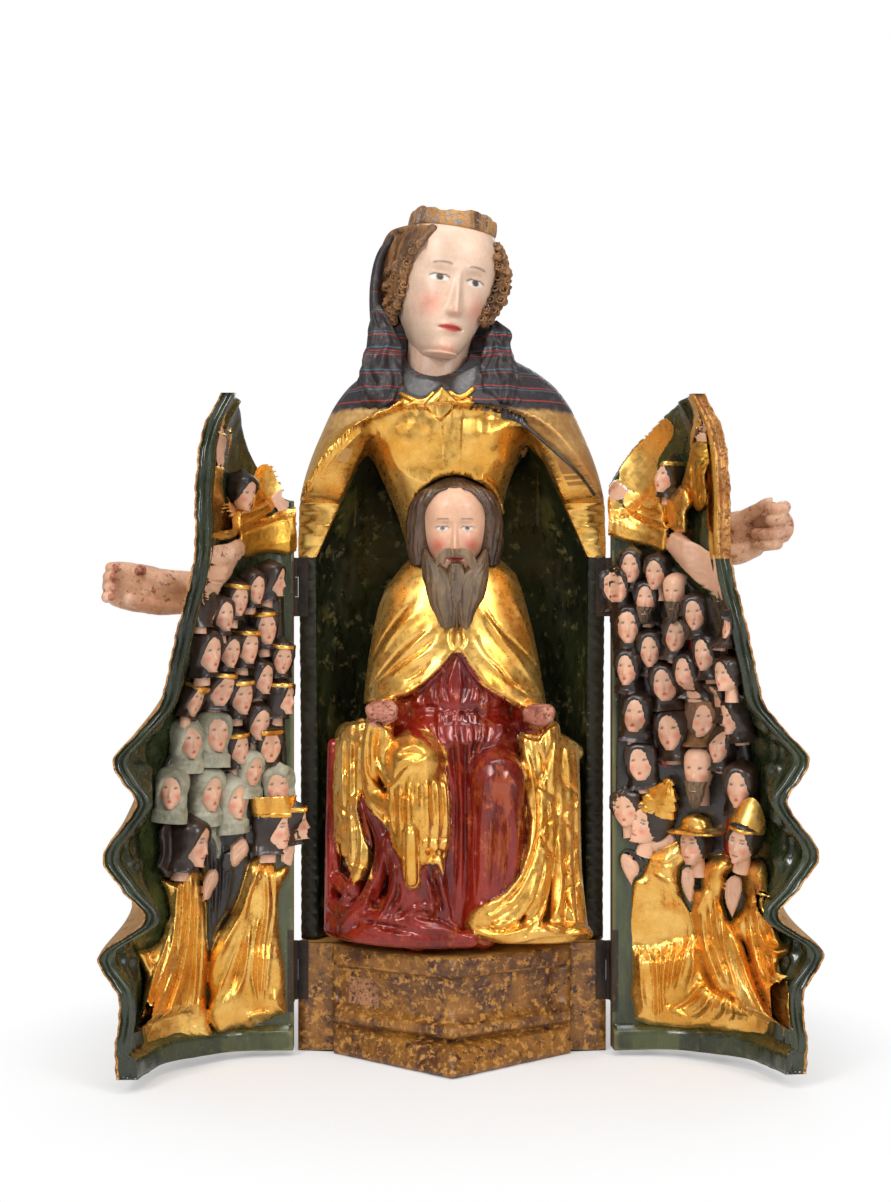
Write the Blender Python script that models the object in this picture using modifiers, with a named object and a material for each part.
"""Shrine madonna, shown open.

A carved and painted wooden Virgin whose front is a pair of wings. Behind them, in a niche on a
prow-shaped plinth, sits God the Father. The inside of each wing holds an angel, the Virgin's
sheltering arm and hand, and a crowd of people under her mantle.

World frame: +Z up, +Y towards the back. The origin is on the floor, midway between the two
hinge lines. The wings are modelled closed and turned open about their hinge axes.
"""

import math

import bmesh
import bpy
import numpy as np
from mathutils import Matrix, Vector
from mathutils.kdtree import KDTree

# Driving dimensions of the shrine, in metres
HALF_WIDTH = 0.220  # centre to the outside of either hinge line
BACK_DEPTH = 0.130  # hinge plane to the carved back
HEM_DEPTH = 0.228  # hinge plane to the closed front at the hem
BODY_WALL = 0.024
WING_WALL = 0.016
PLINTH_HEIGHT = 0.154
HINGE_TOP = 0.784  # where the wings end at their hinge lines
TIP_RISE = 0.130  # from there up to the wing tips
HEAD_TOP = 1.195
LEFT_OPEN = 88.0  # degrees from closed to the pose shown
RIGHT_OPEN = 95.5

# Clearances
SEAT_GAP = 0.0004  # between pieces that rest on each other
HINGE_GAP = 0.003  # between the body's front edge and a closed wing
CENTRE_GAP = 0.001  # from a closed wing's free edge to the middle plane
SLIVER = 0.0004  # edges shorter than this are merged before a skin is thinned out
TOUCHING = 0.00002  # vertices this near each other touch
MEND_ROUNDS = 5
FLAT_REACH = 0.0006  # how near a cut plane a thinned-out vertex is put back onto it
EDGE_SPARE = 0.05  # how far a wing is first carved past its upright edges, as a share of its turn
TOP_GAP = 0.004  # between a wing's upper edge and the mantle above it
NICHE_CLEARANCE = 0.010  # between the seated figure and the niche walls
HEAD_CLEARANCE = 0.018  # round the seated figure's head, in the Virgin's waist

# Carving of the wings
RELIEF_DEPTH = 0.034  # the room that the figures take inside a wing's shell
BORDER_RIDGE = 0.008
OUTER_FOLD = 0.012  # the height of the mantle's folds on a wing's outside
BACK_FOLD = 0.011  # and on the carved back
LEDGE_DEPTH = 0.016  # the step at the foot of a wing that its people kneel on
LEDGE_HEIGHT = 0.026
WING_LIFT = 0.008  # a wing's foot above the floor, at the hinge
HEM_RISE = 0.010  # and how much more that is at the free edge
CROWD_HEAD = 0.054  # height of one head in the crowd
FOLD_LIFT = 0.060  # how far the cup folds climb from the middle to the knees

# The plinth
PROW_HALF_WIDTH = 0.168
PROW_DEPTH = 0.112  # hinge plane to the point of the prow, at the dado
FOOT_FLARE = 0.050  # how much further the foot's point stands out
CORNICE_HEIGHT = 0.030
MOULDING = 0.008

# Hands and hinges
FOREARM_LENGTH = 0.205  # from the cuff to the knuckles
LEFT_CUFF = 0.655  # heights of the two cuffs
RIGHT_CUFF = 0.728
CUFF_TURN = 0.60  # their place between the hinge and the free edge
FOREARM_RADIUS = 0.025
CUFF_STANDS_OUT = 0.006
HINGE_RADIUS = 0.004
HINGE_HEIGHT = 0.084
LEAF_THICKNESS = 0.0011
LEAF_WIDTH = 0.014
KNUCKLE_GAP = 0.0004
HINGE_PLACES = (0.115, 0.662)  # heights of the hinge middles

# How finely the carved forms are cut
CARVING_GRID = 0.0045
TRIANGLES = {"shrine_body": 2100, "god_the_father": 1700, "wing": 1950, "hand": 380}

# Outlines as shares, read from bottom to top. The free edge: height over the tip's, and depth
# over the hem's. Its waves are the cup folds of the mantle, cut through.
FREE_EDGE = (
    (0.00, 0.97), (0.05, 0.99), (0.14, 0.975), (0.197, 1.08), (0.247, 0.825), (0.29, 0.95),
    (0.337, 1.06), (0.38, 0.95), (0.414, 0.87), (0.445, 0.95), (0.473, 1.005), (0.505, 0.90),
    (0.551, 0.745), (0.60, 0.69), (0.648, 0.65), (0.766, 0.54), (0.875, 0.53), (0.957, 0.475),
    (1.00, 0.38),
)
# The whole front's depth, without those waves
FRONT_SWELL = (
    (0.00, 0.99), (0.20, 1.065), (0.33, 1.045), (0.44, 1.00), (0.49, 0.965), (0.547, 0.86),
    (0.60, 0.755), (0.66, 0.665), (0.766, 0.55), (0.875, 0.535), (0.957, 0.475), (1.00, 0.38),
)
# The shoulders: height between the hinge line's top and the neck, half width, front and back
SHOULDERS = (
    (0.00, 1.00, 1.00, 1.00), (0.22, 0.95, 0.96, 1.00), (0.50, 0.845, 0.86, 0.96),
    (0.71, 0.74, 0.70, 0.90), (0.81, 0.66, 0.60, 0.82), (0.91, 0.53, 0.50, 0.70),
    (1.00, 0.36, 0.40, 0.55),
)
NECK_HEIGHT = 0.99

# The crowd: one row of heads is its height, the first head's place from the hinge (0) to the
# free edge (1) as seen from the front, the step between heads, the drop of each step, and how
# many heads there are
LEFT_CROWD = (
    (0.668, 0.26, 0.15, -0.013, 4), (0.575, 0.15, 0.150, 0.0, 5), (0.515, 0.16, 0.148, 0.0, 5),
    (0.452, 0.17, 0.146, 0.0, 5), (0.390, 0.12, 0.150, 0.0, 5), (0.332, 0.09, 0.10, -0.008, 2),
)
RIGHT_CROWD = (
    (0.694, 0.24, 0.19, -0.010, 2), (0.655, 0.10, 0.195, -0.010, 5),
    (0.592, 0.15, 0.175, -0.010, 5), (0.535, 0.16, 0.175, -0.012, 5),
    (0.475, 0.18, 0.180, -0.010, 4), (0.408, 0.18, 0.175, -0.006, 4),
    (0.345, 0.13, 0.10, -0.010, 1),
)
ROW_STAGGER = 0.018  # every second head of a row stands this much higher
# The people who kneel in front: inner and outer place at the hem, place of the neck, and its
# height
LEFT_KNEELING = ((0.04, 0.42, 0.22, 0.268), (0.46, 0.90, 0.62, 0.262))
RIGHT_KNEELING = ((0.14, 0.42, 0.24, 0.280), (0.40, 0.68, 0.48, 0.262), (0.66, 0.93, 0.74, 0.268))

# Worked out from the dimensions above
TIP_HEIGHT = HINGE_TOP + TIP_RISE
NICHE_HALF_WIDTH = HALF_WIDTH - BODY_WALL
NICHE_DEPTH = BACK_DEPTH - BODY_WALL
AXIS_X = HALF_WIDTH + HINGE_RADIUS
AXIS_Y = -HINGE_GAP / 2
VIRGIN_HEAD = HEAD_TOP - NECK_HEIGHT
FATHER_HALF_WIDTH = NICHE_HALF_WIDTH - NICHE_CLEARANCE
FATHER_DEPTH = NICHE_DEPTH - NICHE_CLEARANCE
FATHER_HEIGHT = 0.664
# The grid that the seated figure is laid out on: its half width, depth and height
FATHER_GRID = (186.0, 96.0, 664.0)
FATHER_HEAD = (4.0, -26.0, 588.0)
FATHER_HEAD_RADII = (64.0, 62.0, 78.0)


def smoothstep(low, high, value):
    """0 before low, 1 past high, and a smooth ramp between; high may be the lower number."""
    share = np.clip((np.asarray(value, float) - low) / (high - low), 0.0, 1.0)
    return share * share * (3.0 - 2.0 * share)


def bump(centre, width, value):
    """A rounded bump of height 1."""
    return np.exp(-(((np.asarray(value, float) - centre) / width) ** 2))


def through(points, column, at):
    """A smooth curve through one column of an outline, at the places given."""
    table = np.array(points, float)
    x, y = table[:, 0], table[:, column]
    slope = np.gradient(y, x)
    at = np.clip(np.asarray(at, float), x[0], x[-1])
    i = np.clip(np.searchsorted(x, at) - 1, 0, len(x) - 2)
    step = x[i + 1] - x[i]
    t = (at - x[i]) / step
    start = (1 + 2 * t) * (1 - t) ** 2 * y[i] + t * (1 - t) ** 2 * step * slope[i]
    end = t * t * (3 - 2 * t) * y[i + 1] + t * t * (t - 1) * step * slope[i + 1]
    return start + end


def along(points, count):
    """count places on a smooth curve through the points."""
    table = [(i / (len(points) - 1), *point) for i, point in enumerate(points)]
    places = np.linspace(0.0, 1.0, count)
    return [Vector(row) for row in np.stack([through(table, c, places) for c in (1, 2, 3)], 1)]


def collection(name):
    made = bpy.data.collections.new(name)
    bpy.context.scene.collection.children.link(made)
    return made


def material(name, colour, roughness, metallic=0.0):
    made = bpy.data.materials.new(name)
    made.use_nodes = True
    shader = made.node_tree.nodes["Principled BSDF"]
    shader.inputs["Base Color"].default_value = (*colour, 1.0)
    shader.inputs["Roughness"].default_value = roughness
    shader.inputs["Metallic"].default_value = metallic
    return made


def evaluated_mesh(obj):
    """A new mesh of the object with its modifiers applied."""
    graph = bpy.context.evaluated_depsgraph_get()
    return bpy.data.meshes.new_from_object(obj.evaluated_get(graph))


class Clay:
    """Closed forms heaped together, to be fused into one carved solid."""

    def __init__(self):
        self.bm = bmesh.new()

    def ball(self, centre, radii, turn=(0.0, 0.0, 0.0)):
        """An ellipsoid. turn is its rotation about X, Y and Z, in degrees."""
        spin = Matrix.LocRotScale(None, Matrix_euler(turn), None)
        place = Matrix.Translation(centre) @ spin @ Matrix.Diagonal((*radii, 1.0))
        bmesh.ops.create_uvsphere(self.bm, u_segments=16, v_segments=10, radius=1.0, matrix=place)

    def box(self, low, high):
        low, high = Vector(low), Vector(high)
        place = Matrix.Translation((low + high) / 2) @ Matrix.Diagonal((*(high - low), 1.0))
        bmesh.ops.create_cube(self.bm, size=1.0, matrix=place)

    def limb(self, points, radii, steps=4):
        """A round form along a smooth curve through the points, with a radius at each."""
        curve = bpy.data.curves.new("limb", "CURVE")
        curve.dimensions = "3D"
        curve.bevel_depth = 1.0
        curve.bevel_resolution = 2
        curve.use_fill_caps = True
        curve.resolution_u = steps
        spline = curve.splines.new("BEZIER")
        spline.bezier_points.add(len(points) - 1)
        for place, point, radius in zip(spline.bezier_points, points, radii):
            place.co = point
            place.radius = radius
            place.handle_left_type = "AUTO"
            place.handle_right_type = "AUTO"
        obj = bpy.data.objects.new("limb", curve)
        bpy.context.scene.collection.objects.link(obj)
        mesh = evaluated_mesh(obj)
        self.bm.from_mesh(mesh)
        bpy.data.objects.remove(obj)
        bpy.data.curves.remove(curve)
        bpy.data.meshes.remove(mesh)

    def slab(self, front, back):
        """The solid between two grids of points of the same shape."""
        rows, columns = front.shape[:2]
        a = [self.bm.verts.new(p) for p in front.reshape(-1, 3)]
        b = [self.bm.verts.new(p) for p in back.reshape(-1, 3)]
        for r in range(rows - 1):
            for c in range(columns - 1):
                i = r * columns + c
                corners = (i, i + 1, i + columns + 1, i + columns)
                self.bm.faces.new([a[k] for k in corners])
                self.bm.faces.new([b[k] for k in reversed(corners)])
        rim = [c for c in range(columns)]
        rim += [r * columns + columns - 1 for r in range(1, rows)]
        rim += [(rows - 1) * columns + c for c in range(columns - 2, -1, -1)]
        rim += [r * columns for r in range(rows - 2, 0, -1)]
        for i, j in zip(rim, rim[1:] + rim[:1]):
            self.bm.faces.new([a[j], a[i], b[i], b[j]])

    def loft(self, rings):
        """A solid through closed rings of points of the same count, with flat ends."""
        made = [[self.bm.verts.new(p) for p in ring] for ring in rings]
        for lower, upper in zip(made, made[1:]):
            for i in range(len(lower)):
                j = (i + 1) % len(lower)
                self.bm.faces.new([lower[i], lower[j], upper[j], upper[i]])
        self.bm.faces.new(list(reversed(made[0])))
        self.bm.faces.new(made[-1])

    def object(self, name):
        bmesh.ops.remove_doubles(self.bm, verts=self.bm.verts, dist=1e-6)
        bmesh.ops.recalc_face_normals(self.bm, faces=self.bm.faces)
        mesh = bpy.data.meshes.new(name)
        self.bm.to_mesh(mesh)
        self.bm.free()
        made = bpy.data.objects.new(name, mesh)
        bpy.context.scene.collection.objects.link(made)
        return made


def Matrix_euler(degrees):
    x, y, z = (math.radians(d) for d in degrees)
    return (Matrix.Rotation(z, 3, "Z") @ Matrix.Rotation(y, 3, "Y") @ Matrix.Rotation(x, 3, "X"))


def keep_largest(mesh):
    """Removes every loose shell but the largest, such as the skin of a trapped hollow."""
    bm = bmesh.new()
    bm.from_mesh(mesh)
    left = set(bm.verts)
    shells = []
    while left:
        shell = {left.pop()}
        edge = list(shell)
        while edge:
            for link in edge.pop().link_edges:
                for vert in link.verts:
                    if vert in left:
                        left.discard(vert)
                        shell.add(vert)
                        edge.append(vert)
        shells.append(shell)
    shells.sort(key=len)
    small = [vert for shell in shells[:-1] for vert in shell]
    bmesh.ops.delete(bm, geom=small, context="VERTS")
    bm.to_mesh(mesh)
    bm.free()


def mend(mesh):
    """Cuts out any spot where thinning made the skin touch itself, and closes it again."""
    for _ in range(MEND_ROUNDS):
        bm = bmesh.new()
        bm.from_mesh(mesh)
        bmesh.ops.triangulate(bm, faces=bm.faces)
        tree = KDTree(len(bm.verts))
        for i, vert in enumerate(bm.verts):
            tree.insert(vert.co, i)
        tree.balance()
        bad = {vert for edge in bm.edges if not edge.is_manifold for vert in edge.verts}
        bad |= {vert for vert in bm.verts if len(tree.find_range(vert.co, TOUCHING)) > 1}
        for vert in bm.verts:
            across = [edge.other_vert(vert) for edge in vert.link_edges]
            if not vert.is_manifold or len(across) > len(set(across)):
                bad.add(vert)
        bmesh.ops.delete(bm, geom=list(bad), context="VERTS")
        rims = [edge for edge in bm.edges if edge.is_boundary]
        filled = bmesh.ops.holes_fill(bm, edges=rims)
        bmesh.ops.triangulate(bm, faces=filled["faces"])
        bm.to_mesh(mesh)
        bm.free()
        if not bad:
            return


def apply_modifiers(obj):
    mesh = evaluated_mesh(obj)
    old = obj.data
    obj.modifiers.clear()
    obj.data = mesh
    bpy.data.meshes.remove(old)


def even_out(mesh):
    """Merges the slivers that a cut leaves along its rim, and makes all faces triangles."""
    bm = bmesh.new()
    bm.from_mesh(mesh)
    bmesh.ops.remove_doubles(bm, verts=bm.verts, dist=SLIVER)
    bmesh.ops.dissolve_degenerate(bm, edges=bm.edges, dist=SLIVER)
    bmesh.ops.triangulate(bm, faces=bm.faces)
    bm.to_mesh(mesh)
    bm.free()


def cut(obj, *cutters):
    """Cuts the cutters out of the object, then removes them."""
    for cutter in cutters:
        knife = obj.modifiers.new("cut", "BOOLEAN")
        knife.operation = "DIFFERENCE"
        knife.solver = "EXACT"
        knife.object = cutter
    apply_modifiers(obj)
    for cutter in cutters:
        bpy.data.objects.remove(cutter)
    return obj


def flatten(mesh, point, normal, reach):
    """Puts the vertices that lie within reach of a plane onto it."""
    point, normal = Vector(point), Vector(normal).normalized()
    for vertex in mesh.vertices:
        away = (vertex.co - point).dot(normal)
        if abs(away) < reach:
            vertex.co -= normal * away


def carve(obj, triangles, cutters=(), flats=(), grid=CARVING_GRID, soften=2):
    """Fuses heaped forms into one skin, softens it, cuts it, and thins it out to a count of
    triangles. flats are the planes, a point and a normal each, that the cuts leave."""
    fuse = obj.modifiers.new("fuse", "REMESH")
    fuse.mode = "VOXEL"
    fuse.voxel_size = grid
    if soften:
        smooth = obj.modifiers.new("soften", "SMOOTH")
        smooth.factor = 0.5
        smooth.iterations = soften
    apply_modifiers(obj)
    keep_largest(obj.data)
    cut(obj, *cutters)
    keep_largest(obj.data)
    even_out(obj.data)
    obj.data.calc_loop_triangles()
    thin = obj.modifiers.new("thin", "DECIMATE")
    thin.ratio = min(1.0, triangles / len(obj.data.loop_triangles))
    apply_modifiers(obj)
    for point, normal in flats:
        flatten(obj.data, point, normal, FLAT_REACH)
    mend(obj.data)
    keep_largest(obj.data)
    return obj


def finish(obj, paint, parts):
    """Moves a finished piece into the parts' collection, shades it and gives it its material."""
    for user in list(obj.users_collection):
        user.objects.unlink(obj)
    parts.objects.link(obj)
    obj.data.materials.clear()
    obj.data.materials.append(paint)
    obj.data.shade_smooth()
    obj.data.set_sharp_from_angle(angle=math.radians(40))
    return obj


# The wings, in their closed place. A place on a wing is its turn, from 0 at the hinge to 1 at
# the free edge, its height, and how far it lies under the outer surface.


def top_height(turn):
    """The height of the slanting upper edge of a wing."""
    within = np.clip(turn, 0.0, 1.0)
    return HINGE_TOP + TIP_RISE * (1.0 - np.cos(within * math.pi / 2) ** 3)


def foot_height(turn):
    return WING_LIFT + HEM_RISE * np.asarray(turn)


def front_depth(turn, height):
    """How far in front of the hinge plane the closed front swells, at a turn and height."""
    share = height / TIP_HEIGHT
    waves = smoothstep(0.62, 1.0, turn)
    lifted = share - FOLD_LIFT * (1.0 - turn) / TIP_HEIGHT
    swell = through(FRONT_SWELL, 1, share)
    edge = through(FREE_EDGE, 1, lifted)
    return HEM_DEPTH * (swell * (1.0 - waves) + edge * waves)


def wing_place(turn, height, inset, gap=HINGE_GAP):
    """World points of the left wing when closed, as an array."""
    turn, height, inset = np.broadcast_arrays(*(np.asarray(v, float) for v in (turn, height, inset)))
    angle = turn * math.pi / 2
    reach = HALF_WIDTH - CENTRE_GAP - inset
    x = -CENTRE_GAP - reach * np.cos(angle)
    y = -gap - (front_depth(turn, height) - gap - inset) * np.sin(angle)
    return np.stack([x, y, height], -1)


def outer_folds(turn, height):
    """How far the mantle's long folds stand out on the outside of a wing. They start under the
    arm and die away before the hinge and the free edge."""
    fall = smoothstep(0.62, 0.12, height / TIP_HEIGHT)
    sway = 0.05 * np.sin(height / TIP_HEIGHT * 4.0)
    folds = sum(bump(place + sway, 0.035, turn) for place in (0.16, 0.30, 0.45, 0.60))
    knee = bump(0.60, 0.16, turn) * bump(0.34, 0.10, height / TIP_HEIGHT)
    inside = smoothstep(0.0, 0.08, turn) * smoothstep(1.0, 0.86, turn)
    return OUTER_FOLD * inside * (fall * folds + 0.9 * knee + 0.25 * folds)


def wing_thickness(turn, height):
    """The shell's thickness: the wall, the ridges of the border and the ledge at the foot."""
    ridge = BORDER_RIDGE * (bump(0.80, 0.05, turn) + 0.5 * bump(0.97, 0.03, turn))
    above = height - foot_height(turn)
    ledge = LEDGE_DEPTH * (1.0 - smoothstep(LEDGE_HEIGHT, LEDGE_HEIGHT + 0.006, above))
    return WING_WALL + np.maximum(ridge, ledge)


def wing_grid(turns, levels, inset, top=0.0, foot=0.0, gap=HINGE_GAP):
    """Points over the whole wing and a little past both its upright edges, which are cut flat
    afterwards. top and foot move its upper and lower edge."""
    reach = np.linspace(-EDGE_SPARE, 1.0 + EDGE_SPARE, turns)
    turn, level = np.meshgrid(reach, np.linspace(0, 1, levels), indexing="ij")
    low, high = foot_height(turn) + foot, top_height(turn) + top
    height = low + (high - low) * level
    depth = inset(turn, height) if callable(inset) else inset
    return wing_place(turn, height, depth, gap)


def relief(place, height, lift):
    """A point on the relief. place is the way from the hinge to the free edge as it shows from
    the front of an open wing, and lift is how far the point stands off the ground."""
    turn = 2 / math.pi * math.asin(min(place, 0.999))
    inset = wing_thickness(turn, height) + lift
    return Vector(wing_place(turn, height, inset))


def crowd(clay, rows):
    """Heads in staggered rows, each with its hair behind it."""
    width, depth = 0.34 * CROWD_HEAD, 0.30 * CROWD_HEAD
    for height, first, step, drop, count in rows:
        for i in range(count):
            place = first + step * i
            level = height + drop * i + ROW_STAGGER * (i % 2)
            clay.ball(relief(place, level, 0.022), (width, width, 0.46 * CROWD_HEAD))
            clay.ball(relief(place, level + 0.1 * CROWD_HEAD, 0.008), (width * 1.2, depth, depth * 1.6))


def kneeling(clay, people):
    """Robes that fan out from the neck to the ledge, with a head and joined hands."""
    folds = 5
    for inner, outer, neck, height in people:
        hem = WING_LIFT + LEDGE_HEIGHT + 0.012
        middle = (inner + outer) / 2
        back = relief(neck + 0.02, height, 0.006)
        clay.limb([back, relief((neck + middle) / 2, 0.62 * height, 0.014)], [0.018, 0.027])
        for i in range(folds):
            place = inner + (outer - inner) * i / (folds - 1)
            top = relief(neck + 0.045 * (i - 2), height - 0.006, 0.010)
            hip = relief(neck + (place - neck) * 0.70, (height + hem) / 2, 0.020)
            clay.limb([top, hip, relief(place, hem, 0.012 + 0.008 * (i % 2))], [0.007, 0.011, 0.011])
        clay.ball(relief(neck, height + 0.020, 0.020), (0.020, 0.020, 0.027))
        hands = relief(neck - 0.15, height - 0.030, 0.022)
        clay.limb([hands - Vector((0, 0, 0.016)), hands + Vector((0, 0, 0.018))], [0.011, 0.006])


def sheltering_arm(clay, side):
    """The Virgin's sleeve that crosses from the hinge, and her hand spread over the crowd."""
    drop = 0.10 if side < 0 else 0.085
    sleeve = [relief(0.02, 0.752, 0.004), relief(0.28, 0.738, 0.014), relief(0.50, 0.722, 0.014)]
    clay.limb(sleeve, [0.024, 0.026, 0.022])
    hand = [relief(0.52, 0.716, 0.018), relief(0.66, 0.69, 0.020), relief(0.80, 0.716 - drop, 0.014)]
    clay.limb(hand, [0.017, 0.019, 0.008])


def angel(clay, side):
    """The angel who holds up the mantle: body, head, raised arm, low arm and feathered wing."""
    out = 0.0 if side < 0 else 0.03
    clay.limb([relief(0.66, 0.715, 0.004), relief(0.62 + out, 0.79, 0.014)], [0.024, 0.026])
    clay.ball(relief(0.56 + out, 0.826, 0.018), (0.020, 0.020, 0.027))
    raised = [relief(0.70 + out, 0.80, 0.010), relief(0.80, 0.845, 0.006), relief(0.82, 0.884, 0.002)]
    clay.limb(raised, [0.019, 0.014, 0.009])
    clay.limb([relief(0.56, 0.775, 0.014), relief(0.34, 0.765, 0.014), relief(0.14, 0.785, 0.006)], [0.020, 0.016, 0.010])
    clay.limb([relief(0.48, 0.79, 0.002), relief(0.36, 0.825, 0.002), relief(0.34, 0.85, 0.0)], [0.022, 0.020, 0.010])


def cuff_place(side):
    """Where a forearm leaves its wing, as if on the closed left one: a point on the forearm's
    axis, and its direction."""
    turn, height = CUFF_TURN, (LEFT_CUFF if side < 0 else RIGHT_CUFF)
    start = Vector(wing_place(turn, height, 0.0))
    ahead = Vector(wing_place(turn, height, -0.01)) - start
    return start + ahead.normalized() * CUFF_STANDS_OUT, ahead.normalized()


def cuff_block(side_of_shrine, beyond):
    """A block on one side of the cuff's plane, to cut the sleeve or the forearm flat."""
    point, ahead = cuff_place(side_of_shrine)
    size = 0.12
    block = Clay()
    far = size if beyond else -size
    side = ahead.to_track_quat("Z", "Y").to_matrix().to_4x4()
    gap = 0.0 if beyond else SEAT_GAP
    shift = Matrix.Translation((0, 0, far / 2 + gap))
    bmesh.ops.create_cube(block.bm, size=size, matrix=Matrix.Translation(point) @ side @ shift)
    return block.object("cuff_cutter")


def above_wing():
    """The space over a wing's slanting upper edge, and inside its room, as a block."""
    clay = Clay()
    rise = 0.12
    turn, level = np.meshgrid(np.linspace(-EDGE_SPARE, 1 + EDGE_SPARE, 24), (0.0, 1.0), indexing="ij")
    height = top_height(turn) - TOP_GAP + rise * level
    outer = wing_place(turn, np.minimum(height, TIP_HEIGHT), -0.04)
    inner = wing_place(turn, np.minimum(height, TIP_HEIGHT), 0.12)
    outer[..., 2] = inner[..., 2] = height
    clay.slab(outer, inner)
    return clay.object("roof_cutter")


def inside_wing():
    """The space beyond the deepest that a wing's relief may reach, as a block."""
    clay = Clay()
    near = wing_grid(17, 40, wing_room, top=0.05, foot=-0.05)
    far = wing_grid(17, 40, lambda turn, height: wing_room(turn, height) + 0.05, top=0.05, foot=-0.05)
    clay.slab(near, far)
    return clay.object("relief_cutter")


def hinge_boundary():
    """The half space behind a closed wing's hinge edge, as a block."""
    block = Clay()
    block.box((-HALF_WIDTH * 1.5, -HINGE_GAP, -0.1), (HALF_WIDTH, BACK_DEPTH, HEAD_TOP))
    return block.object("hinge_cutter")


def centre_boundary():
    block = Clay()
    block.box((-CENTRE_GAP, -2 * HEM_DEPTH, -0.1), (HALF_WIDTH, BACK_DEPTH, HEAD_TOP))
    return block.object("centre_cutter")


def mirrored(obj):
    """The same mesh on the other side of the middle plane, facing out."""
    obj.data.transform(Matrix.Scale(-1.0, 4, (1, 0, 0)))
    obj.data.flip_normals()
    return obj


def hang(obj, side):
    """Parents a piece, modelled closed, to an empty on its wing's hinge axis, turned open."""
    name = "left_wing_axis" if side < 0 else "right_wing_axis"
    axis = bpy.data.objects.get(name)
    if axis is None:
        axis = bpy.data.objects.new(name, None)
        bpy.context.scene.collection.objects.link(axis)
        axis.location = (side * AXIS_X, AXIS_Y, 0.0)
        opened = LEFT_OPEN if side < 0 else RIGHT_OPEN
        axis.rotation_euler = (0.0, 0.0, math.radians(side * opened))
    obj.data.transform(Matrix.Translation((-side * AXIS_X, -AXIS_Y, 0.0)))
    obj.parent = axis
    return obj


def wing(side):
    """One wing: a shell with a folded mantle outside and the crowd inside."""
    clay = Clay()
    outside = wing_grid(64, 70, lambda turn, height: -outer_folds(turn, height))
    clay.slab(outside, wing_grid(64, 70, wing_thickness))
    crowd(clay, LEFT_CROWD if side < 0 else RIGHT_CROWD)
    kneeling(clay, LEFT_KNEELING if side < 0 else RIGHT_KNEELING)
    sheltering_arm(clay, side)
    angel(clay, side)
    point, ahead = cuff_place(side)
    root = point - ahead * 0.018
    clay.limb([root, point + ahead * 0.012], [FOREARM_RADIUS * 1.5, FOREARM_RADIUS * 1.3])
    cutters = (
        hinge_boundary(), centre_boundary(), above_wing(), inside_wing(), cuff_block(side, True),
    )
    flats = (
        ((0, -HINGE_GAP, 0), (0, 1, 0)), ((-CENTRE_GAP, 0, 0), (1, 0, 0)),
    )
    raw = clay.object("left_wing" if side < 0 else "right_wing")
    obj = carve(raw, TRIANGLES["wing"], cutters, flats)
    return hang(obj if side < 0 else mirrored(obj), side)


def hand(side):
    """A forearm and hand that stands out from a wing's cuff: broken fingers, or a grip."""
    point, ahead = cuff_place(side)
    up = Vector((0, 0, 1))
    out = ahead.cross(up).normalized()
    palm = point + ahead * FOREARM_LENGTH * 0.66
    clay = Clay()
    wrist = point + ahead * FOREARM_LENGTH * 0.45
    root = point - ahead * 0.02
    clay.limb([root, point, wrist, palm], [FOREARM_RADIUS, FOREARM_RADIUS, 0.020, 0.022])
    fingers = 4
    for i in range(fingers):
        offset = up * (i - 1.5) * 0.011
        knuckle = palm + ahead * 0.020 + offset
        if side < 0:
            tip = knuckle + ahead * (0.020 - 0.004 * abs(i - 1)) + out * 0.006
            clay.limb([palm + offset, knuckle, tip], [0.010, 0.009, 0.007])
        else:
            bend = knuckle + ahead * 0.022 + out * 0.008
            tip = knuckle + ahead * 0.008 + out * 0.034
            clay.limb([palm + offset, knuckle, bend, tip], [0.010, 0.010, 0.009, 0.007])
    thumb = palm + up * 0.020
    clay.limb([thumb - ahead * 0.016, thumb + ahead * 0.018 + out * 0.016], [0.010, 0.008])
    name = "left_hand" if side < 0 else "right_hand"
    cutters = (cuff_block(side, False),)
    obj = carve(clay.object(name), TRIANGLES["hand"], cutters, (), 0.003, 1)
    return hang(obj if side < 0 else mirrored(obj), side)


# The body with the niche


def arc(half_width, depth, count, height, front=0.0):
    """A ring of points: half an ellipse at the back, and another, of depth front, in front."""
    ring = []
    for i in range(count):
        angle = math.pi * i / (count - 1)
        ring.append((half_width * math.cos(angle), depth * math.sin(angle), height))
    for i in range(1, count - 1):
        angle = math.pi * i / (count - 1)
        ring.append((-half_width * math.cos(angle), -front * math.sin(angle), height))
    return ring


def body_block():
    """The outer form, from the plinth to the neck."""
    clay = Clay()
    front = front_depth(0.0, HINGE_TOP)
    levels = [PLINTH_HEIGHT + SEAT_GAP + (HINGE_TOP - PLINTH_HEIGHT) * i / 6 for i in range(6)]
    rings = [arc(HALF_WIDTH, BACK_DEPTH, 25, z, 0.004) for z in levels]
    for share in np.linspace(0.0, 1.0, 16):
        width, reach, back = (float(through(SHOULDERS, c, share)) for c in (1, 2, 3))
        height = HINGE_TOP - 0.01 + (NECK_HEIGHT - HINGE_TOP + 0.01) * share
        front_now = float(front) * reach
        rings.append(arc(HALF_WIDTH * width, BACK_DEPTH * back, 25, height, front_now))
    clay.loft(rings)
    return clay.object("shrine_body")


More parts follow.
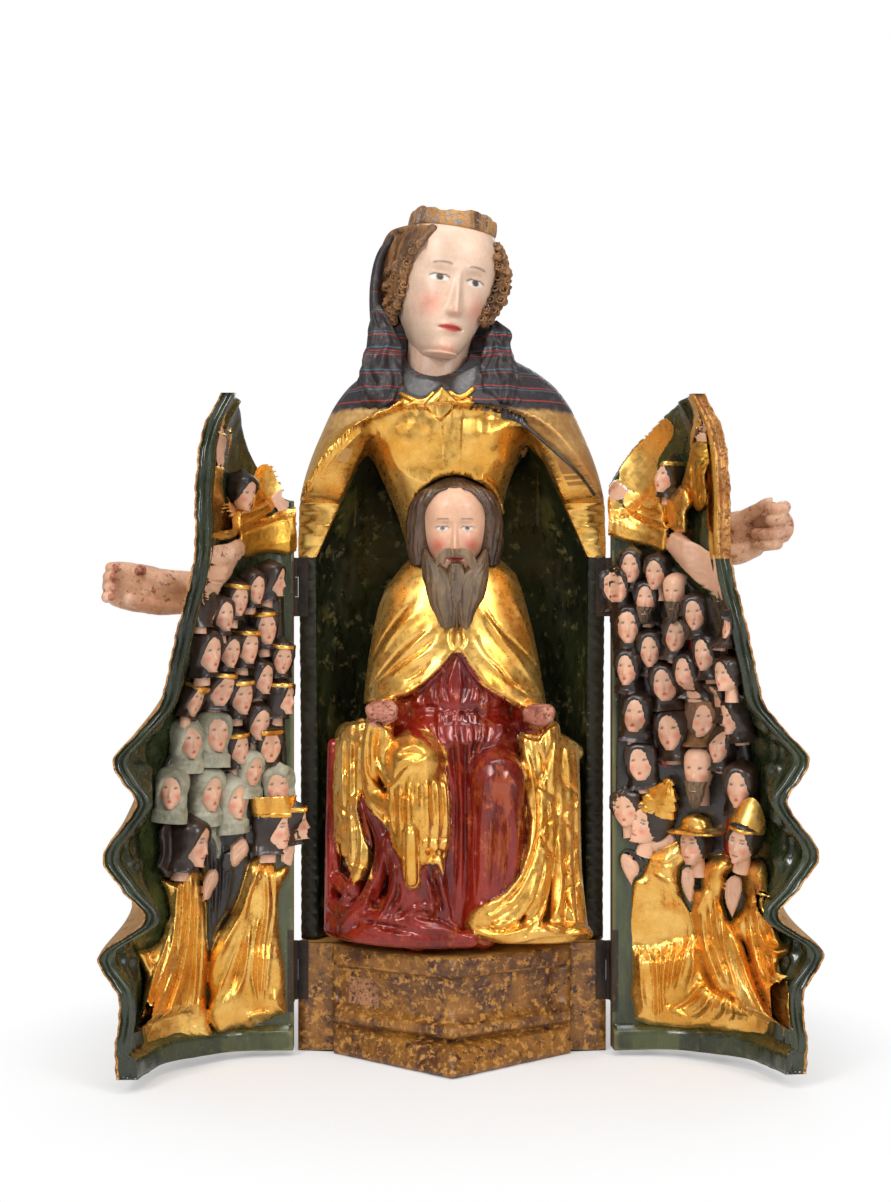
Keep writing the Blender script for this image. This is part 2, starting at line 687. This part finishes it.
def niche_block():
    """The hollow: as wide as the walls allow, narrowing between the arms to its crown."""
    clay = Clay()
    crown = HINGE_TOP + 0.62 * TIP_RISE
    spring = HINGE_TOP - 0.080
    levels = [PLINTH_HEIGHT - 0.05, spring - 0.2, spring]
    rings = [arc(NICHE_HALF_WIDTH, NICHE_DEPTH, 17, z, 0.4) for z in levels]
    for share in (0.3, 0.6, 0.85, 1.0):
        narrow = 1.0 - 0.42 * share
        shallow = 1.0 - 0.25 * share
        height = spring + (crown - spring) * share
        rings.append(arc(NICHE_HALF_WIDTH * narrow, NICHE_DEPTH * shallow, 17, height, 0.4))
    clay.loft(rings)
    return clay.object("niche_cutter")


def wing_room(turn, height):
    """How deep a closed wing's shell and relief reach inwards; the relief is thin at the tip."""
    return WING_WALL + BORDER_RIDGE + RELIEF_DEPTH * (1.0 - 0.75 * smoothstep(0.90, 0.97, height / TIP_HEIGHT))


def wing_space(side):
    """The room that a closed wing sweeps into, cut away from the body."""
    clay = Clay()
    outer = wing_grid(17, 40, -0.03, foot=-0.1, gap=0.0)
    inner = wing_grid(17, 40, wing_room, foot=-0.1, gap=0.0)
    clay.slab(outer, inner)
    obj = clay.object("wing_cutter")
    obj.data.transform(Matrix.Translation((0.5 * CENTRE_GAP, 0, 0)))
    return obj if side < 0 else mirrored(obj)


def bust(clay):
    """The Virgin's gilded bust, which narrows to the waist behind the seated figure's head, and
    her upper arms, which run down the niche's front edges."""
    chest = TIP_HEIGHT - 0.040
    clay.ball((0, 0.010, chest + 0.020), (0.114, 0.064, 0.054))
    for drop, half, y in ((0.020, 0.104, 0.010), (0.070, 0.088, 0.022), (0.120, 0.070, 0.040)):
        clay.ball((0, y, chest - drop), (half, 0.058, 0.048))
    for side in (-1, 1):
        clay.ball((0.038 * side, -0.020, chest + 0.004), (0.038, 0.026, 0.030))
        shoulder = (0.098 * side, -0.016, chest + 0.026)
        elbow = (0.158 * side, -0.014, HINGE_TOP + 0.022)
        wrist = (side * (HALF_WIDTH - 0.5 * BODY_WALL), 0.006, HINGE_TOP - 0.075)
        clay.limb([shoulder, elbow, wrist], [0.032, 0.024, 0.012])
    clasp = (0, -0.064, TIP_HEIGHT + 0.018)
    clay.limb([(0, -0.062, NECK_HEIGHT - 0.045), clasp, (0, -0.066, TIP_HEIGHT - 0.014)], [0.016, 0.026, 0.006])


def virgin_head(clay):
    """Head, hair, the cut-down crown band, and the veil that falls over both shoulders."""
    unit = VIRGIN_HEAD
    middle = Vector((-0.008, -0.022, NECK_HEIGHT + 0.50 * unit))
    low = (0, 0.0, NECK_HEIGHT - 0.06)
    clay.limb([low, (-0.004, -0.012, NECK_HEIGHT + 0.10 * unit)], [0.052, 0.042])
    clay.ball(middle, (0.31 * unit, 0.38 * unit, 0.49 * unit), (8, 0, 0))
    nose = middle + Vector((0.006, -0.39 * unit, -0.05 * unit))
    clay.limb([nose + Vector((0, 0.02, 0.12 * unit)), nose], [0.006, 0.010])
    clay.ball(middle + Vector((0, 0.030, 0.02 * unit)), (0.43 * unit, 0.43 * unit, 0.46 * unit))
    fall = [middle + Vector((0, 0.026, 0)), (0, 0.030, NECK_HEIGHT), (0, 0.030, NECK_HEIGHT - 0.07)]
    clay.limb(fall, [0.38 * unit, 0.36 * unit, 0.40 * unit])
    clay.loft([
        arc(0.31 * unit, 0.36 * unit, 13, middle.z + share * unit, 0.33 * unit)
        for share in (0.30, 0.44, 0.50)
    ])
    for side in (-1, 1):
        curls = 5
        for i in range(curls):
            z = middle.z + (0.20 - 0.145 * i) * unit
            out = side * (0.365 + 0.02 * math.sin(2.2 * i)) * unit
            clay.ball((middle.x + out, -0.034, z), (0.018, 0.024, 0.020))
        clay.limb([
            (side * 0.074, 0.020, middle.z - 0.01), (side * 0.086, -0.020, NECK_HEIGHT + 0.01),
            (side * 0.084, -0.046, NECK_HEIGHT - 0.045), (side * 0.078, -0.066, NECK_HEIGHT - 0.082),
        ], [0.026, 0.031, 0.029, 0.022])


def back_folds(clay):
    """Long mantle folds down the carved back."""
    folds = 7
    for i in range(folds):
        angle = math.pi * (i + 1) / (folds + 1)
        across, behind = math.cos(angle), math.sin(angle)
        foot = (HALF_WIDTH * across, BACK_DEPTH * behind, PLINTH_HEIGHT + BACK_FOLD)
        waist = (HALF_WIDTH * 0.97 * across, BACK_DEPTH * 0.99 * behind, 0.6 * HINGE_TOP)
        top = (HALF_WIDTH * 0.60 * across, BACK_DEPTH * 0.84 * behind, NECK_HEIGHT - 0.06)
        clay.limb([foot, waist, top], [BACK_FOLD * 1.2, BACK_FOLD, BACK_FOLD * 0.8])


def shrine_body():
    obj = body_block()
    cut(obj, niche_block())
    clay = Clay()
    clay.bm.from_mesh(obj.data)
    bpy.data.objects.remove(obj)
    bust(clay)
    virgin_head(clay)
    back_folds(clay)
    hollow = Clay()
    spread = Vector((1, 1, 1)) * HEAD_CLEARANCE
    hollow.ball(father_place(*FATHER_HEAD), father_size(FATHER_HEAD_RADII) + spread)
    floor = Clay()
    floor.box((-0.5, -0.5, -0.1), (0.5, 0.5, PLINTH_HEIGHT + SEAT_GAP))
    cutters = [hollow.object("head_cutter"), floor.object("floor_cutter"), wing_space(-1), wing_space(1)]
    flats = (((0, 0, PLINTH_HEIGHT + SEAT_GAP), (0, 0, 1)), ((0, 0, 0), (0, 1, 0)))
    return carve(clay.object("shrine_body"), TRIANGLES["shrine_body"], cutters, flats)


# God the Father, seated


def father_place(x, y, z):
    """A world point from the figure's own grid."""
    scale = father_size((1.0, 1.0, 1.0))
    foot = PLINTH_HEIGHT + SEAT_GAP
    return Vector((x * scale.x, y * scale.y, foot + z * scale.z))


def father_size(radii):
    sizes = (FATHER_HALF_WIDTH, FATHER_DEPTH, FATHER_HEIGHT)
    return Vector([r * size / grid for r, size, grid in zip(radii, sizes, FATHER_GRID)])


class Figure(Clay):
    """Clay laid out on the seated figure's grid."""

    def knob(self, centre, radii, turn=(0.0, 0.0, 0.0)):
        self.ball(father_place(*centre), father_size(radii), turn)

    def roll(self, points, radii):
        unit = father_size((1.0, 1.0, 1.0)).x
        self.limb([father_place(*p) for p in points], [r * unit for r in radii])

    def pleats(self, top, bottom, count, radii, belly=0.0):
        """Rolls side by side, from one line of points to another."""
        for i in range(count):
            share = i / (count - 1)
            deep = Vector((0, 9.0 * (i % 2), 0))
            start = Vector(top[0]).lerp(Vector(top[1]), share) + 0.5 * deep
            end = Vector(bottom[0]).lerp(Vector(bottom[1]), share) + deep
            middle = start.lerp(end, 0.5) + Vector((0, -belly, 0))
            self.roll([start, middle, end], radii)


def father_head(clay):
    clay.knob((4, -32, 582), (46, 56, 68))
    clay.knob(FATHER_HEAD, FATHER_HEAD_RADII)
    clay.roll([(4, -84, 590), (4, -92, 572)], [6, 9])
    for side in (-1, 1):
        clay.roll([(4 + 54 * side, -26, 600), (4 + 55 * side, -20, 545)], [14, 16])
        clay.roll([(4 + 10 * side, -74, 540), (5 + 13 * side, -86, 490), (6 + 9 * side, -92, 452)], [26, 19, 6])


def cape(clay):
    """A cape round the shoulders that parts at the breast, each fold from neck to hem."""
    folds = 13
    for i in range(folds):
        around = -1.0 + 2.0 * i / (folds - 1)
        angle = math.radians(112) * around
        hem = 412 - 66 * min(1.0, abs(around) * 2.2)
        top = (4 + 54 * math.sin(angle), 12 - 46 * math.cos(angle), 528)
        shoulder = (4 + 98 * math.sin(angle), 16 - 60 * math.cos(angle), 478)
        foot = (6 + 126 * math.sin(angle), 14 - 84 * math.cos(angle), hem)
        clay.roll([top, shoulder, foot], [20, 26, 13])
    clay.knob((4, 20, 470), (96, 52, 70))


def legs(clay):
    """The lap, both knees under cloth, and pleats of the dress between and over the shins."""
    clay.knob((5, -10, 350), (84, 66, 78))
    clay.knob((5, -20, 290), (110, 74, 52))
    for side, x in ((-1, -64), (1, 70)):
        clay.roll([(x * 0.8, 10, 268), (x, -84, 250)], [46, 42])
        clay.roll([(x, -86, 248), (x * 1.02, -84, 130), (x * 0.9, -76, 14)], [41, 34, 33])
    clay.pleats(((-24, -66, 380), (38, -66, 380)), ((-34, -92, 12), (40, -92, 12)), 5, [7, 10, 12])
    clay.pleats(((52, -118, 236), (92, -110, 236)), ((34, -106, 12), (86, -98, 12)), 4, [7, 8, 9])


def throne_cloths(clay):
    """Gilded cloth over the throne's two sides and the left knee, and the hem on the ground."""
    seat = father_size((158.0, 92.0, 262.0))
    foot = PLINTH_HEIGHT + SEAT_GAP
    clay.loft([arc(seat.x, seat.y, 13, foot + seat.z * level, 0.01) for level in (0.0, 0.5, 1.0)])
    clay.pleats(((-150, -8, 284), (-112, -26, 286)), ((-150, -8, 96), (-104, -40, 70)), 4, [8, 12, 7])
    clay.pleats(((112, -30, 286), (158, -6, 276)), ((92, -76, 14), (154, -14, 14)), 5, [9, 12, 11])
    clay.roll([(-152, 6, 274), (-120, -22, 282), (-98, -60, 276)], [13, 13, 14])
    clay.roll([(154, 6, 268), (128, -24, 282), (100, -62, 272)], [13, 14, 14])
    clay.pleats(((-104, -96, 266), (-34, -110, 280)), ((-98, -104, 118), (-24, -108, 92)), 5, [9, 11, 7], 10)
    clay.roll([(-98, -84, 322), (-98, -96, 262), (-84, -112, 226)], [15, 17, 12])
    clay.roll([(-54, -114, 220), (-50, -122, 150), (-50, -112, 76)], [13, 13, 9])
    clay.roll([(-148, -30, 20), (-90, -96, 20), (-20, -110, 15), (30, -104, 13)], [19, 21, 16, 12])
    clay.roll([(-132, -22, 62), (-90, -84, 56), (-50, -106, 40)], [15, 16, 10])
    clay.roll([(-140, -20, 92), (-110, -58, 90), (-78, -96, 66)], [12, 13, 9])
    clay.roll([(30, -112, 12), (96, -92, 14), (154, -30, 13)], [11, 14, 13])
    clay.roll([(-8, -106, 40), (34, -118, 34), (70, -116, 44)], [8, 10, 7])


def forearms(clay):
    """The two forearms, broken off where they held the cross."""
    for x in (-100, 114):
        clay.roll([(x * 0.86, 0, 372), (x, -42, 352), (x, -74, 334)], [32, 28, 23])


def god_the_father():
    clay = Figure()
    father_head(clay)
    cape(clay)
    legs(clay)
    throne_cloths(clay)
    forearms(clay)
    floor = Clay()
    floor.box((-0.5, -0.5, -0.1), (0.5, 0.5, PLINTH_HEIGHT + SEAT_GAP))
    flats = (((0, 0, PLINTH_HEIGHT + SEAT_GAP), (0, 0, 1)),)
    raw = clay.object("god_the_father")
    return carve(raw, TRIANGLES["god_the_father"], (floor.object("floor_cutter"),), flats, 0.004)


# The plinth and the hinges


def plinth_ring(height, out, point):
    """One level of the plinth: round at the back, a prow in front. out widens the mouldings and
    point is how far the prow's tip stands in front of the hinge plane."""
    back = 13
    ring = []
    for i in range(back):
        angle = math.pi * i / (back - 1)
        ring.append((HALF_WIDTH * math.cos(angle), BACK_DEPTH * math.sin(angle), height))
    corner = PROW_HALF_WIDTH
    ring.append((-corner, 0.0, height))
    ring.append((-corner, -0.012 - out, height))
    ring.append((0.0, -point, height))
    ring.append((corner, -0.012 - out, height))
    ring.append((corner, 0.0, height))
    return ring


def plinth():
    """A block with a cornice, a dado, a roll and a flared foot, like a ship's prow."""
    top = PLINTH_HEIGHT
    dado_top = top - CORNICE_HEIGHT
    roll = 0.42 * top
    foot = 0.24 * top
    half = MOULDING / 2
    levels = (
        (0.0, MOULDING, PROW_DEPTH + FOOT_FLARE), (foot * 0.6, MOULDING, PROW_DEPTH + 0.6 * FOOT_FLARE),
        (foot, half, PROW_DEPTH + 0.25 * FOOT_FLARE), (foot + half, 0.0, PROW_DEPTH + half),
        (foot + MOULDING, MOULDING, PROW_DEPTH + 1.5 * MOULDING),
        (roll - half, MOULDING, PROW_DEPTH + 1.5 * MOULDING), (roll, 0.0, PROW_DEPTH),
        (dado_top, 0.0, PROW_DEPTH), (dado_top + half, half, PROW_DEPTH + MOULDING),
        (top - half, MOULDING, PROW_DEPTH + MOULDING), (top, half, PROW_DEPTH + half),
    )
    clay = Clay()
    clay.loft([plinth_ring(*level) for level in levels])
    return clay.object("plinth")


def hinge(side, place, label):
    """One butt hinge: a fixed leaf with two knuckles and a moving leaf with one between."""
    third = HINGE_HEIGHT / 3
    edge = -HALF_WIDTH + KNUCKLE_GAP
    made = []
    for moving in (False, True):
        name = f"{'left' if side < 0 else 'right'}_{label}_hinge_{'moving' if moving else 'fixed'}"
        near = -HINGE_GAP + KNUCKLE_GAP / 2 if moving else -KNUCKLE_GAP / 2 - LEAF_THICKNESS
        far = near + LEAF_THICKNESS
        clay = Clay()
        low, high = place - 1.5 * third, place + 1.5 * third
        clay.box((edge, near, low), (edge + LEAF_WIDTH, far, high))
        obj = clay.object(name)
        for knuckle in (0,) if moving else (-1, 1):
            middle = place + third * knuckle
            tall = third - KNUCKLE_GAP
            tab, barrel = Clay(), Clay()
            tab.box((-AXIS_X, near, middle - tall / 2), (edge + HINGE_RADIUS, far, middle + tall / 2))
            bmesh.ops.create_cone(
                barrel.bm, cap_ends=True, segments=8, radius1=HINGE_RADIUS, radius2=HINGE_RADIUS,
                depth=tall, matrix=Matrix.Translation((-AXIS_X, AXIS_Y, middle)),
            )
            for piece in (tab.object("tab"), barrel.object("barrel")):
                join = obj.modifiers.new("join", "BOOLEAN")
                join.operation = "UNION"
                join.solver = "EXACT"
                join.object = piece
                apply_modifiers(obj)
                bpy.data.objects.remove(piece)
        if side > 0:
            mirrored(obj)
        made.append(hang(obj, side) if moving else obj)
    return made


def main():
    for obj in list(bpy.data.objects):
        bpy.data.objects.remove(obj)
    parts = collection("shrine_madonna")
    marbled = material("marbled_paint", (0.24, 0.12, 0.035), 0.5)
    gilded = material("gilding", (0.80, 0.52, 0.16), 0.35, 0.9)
    flesh = material("flesh_paint", (0.72, 0.48, 0.36), 0.5)
    green = material("green_paint", (0.045, 0.065, 0.035), 0.45)
    iron = material("blackened_iron", (0.03, 0.028, 0.026), 0.6, 0.7)
    finish(plinth(), marbled, parts)
    finish(shrine_body(), gilded, parts)
    finish(god_the_father(), gilded, parts)
    for side in (-1, 1):
        finish(wing(side), green, parts)
        finish(hand(side), flesh, parts)
        for label, place in zip(("lower", "upper"), HINGE_PLACES):
            for piece in hinge(side, place, label):
                finish(piece, iron, parts)
    bpy.context.view_layer.update()


main()
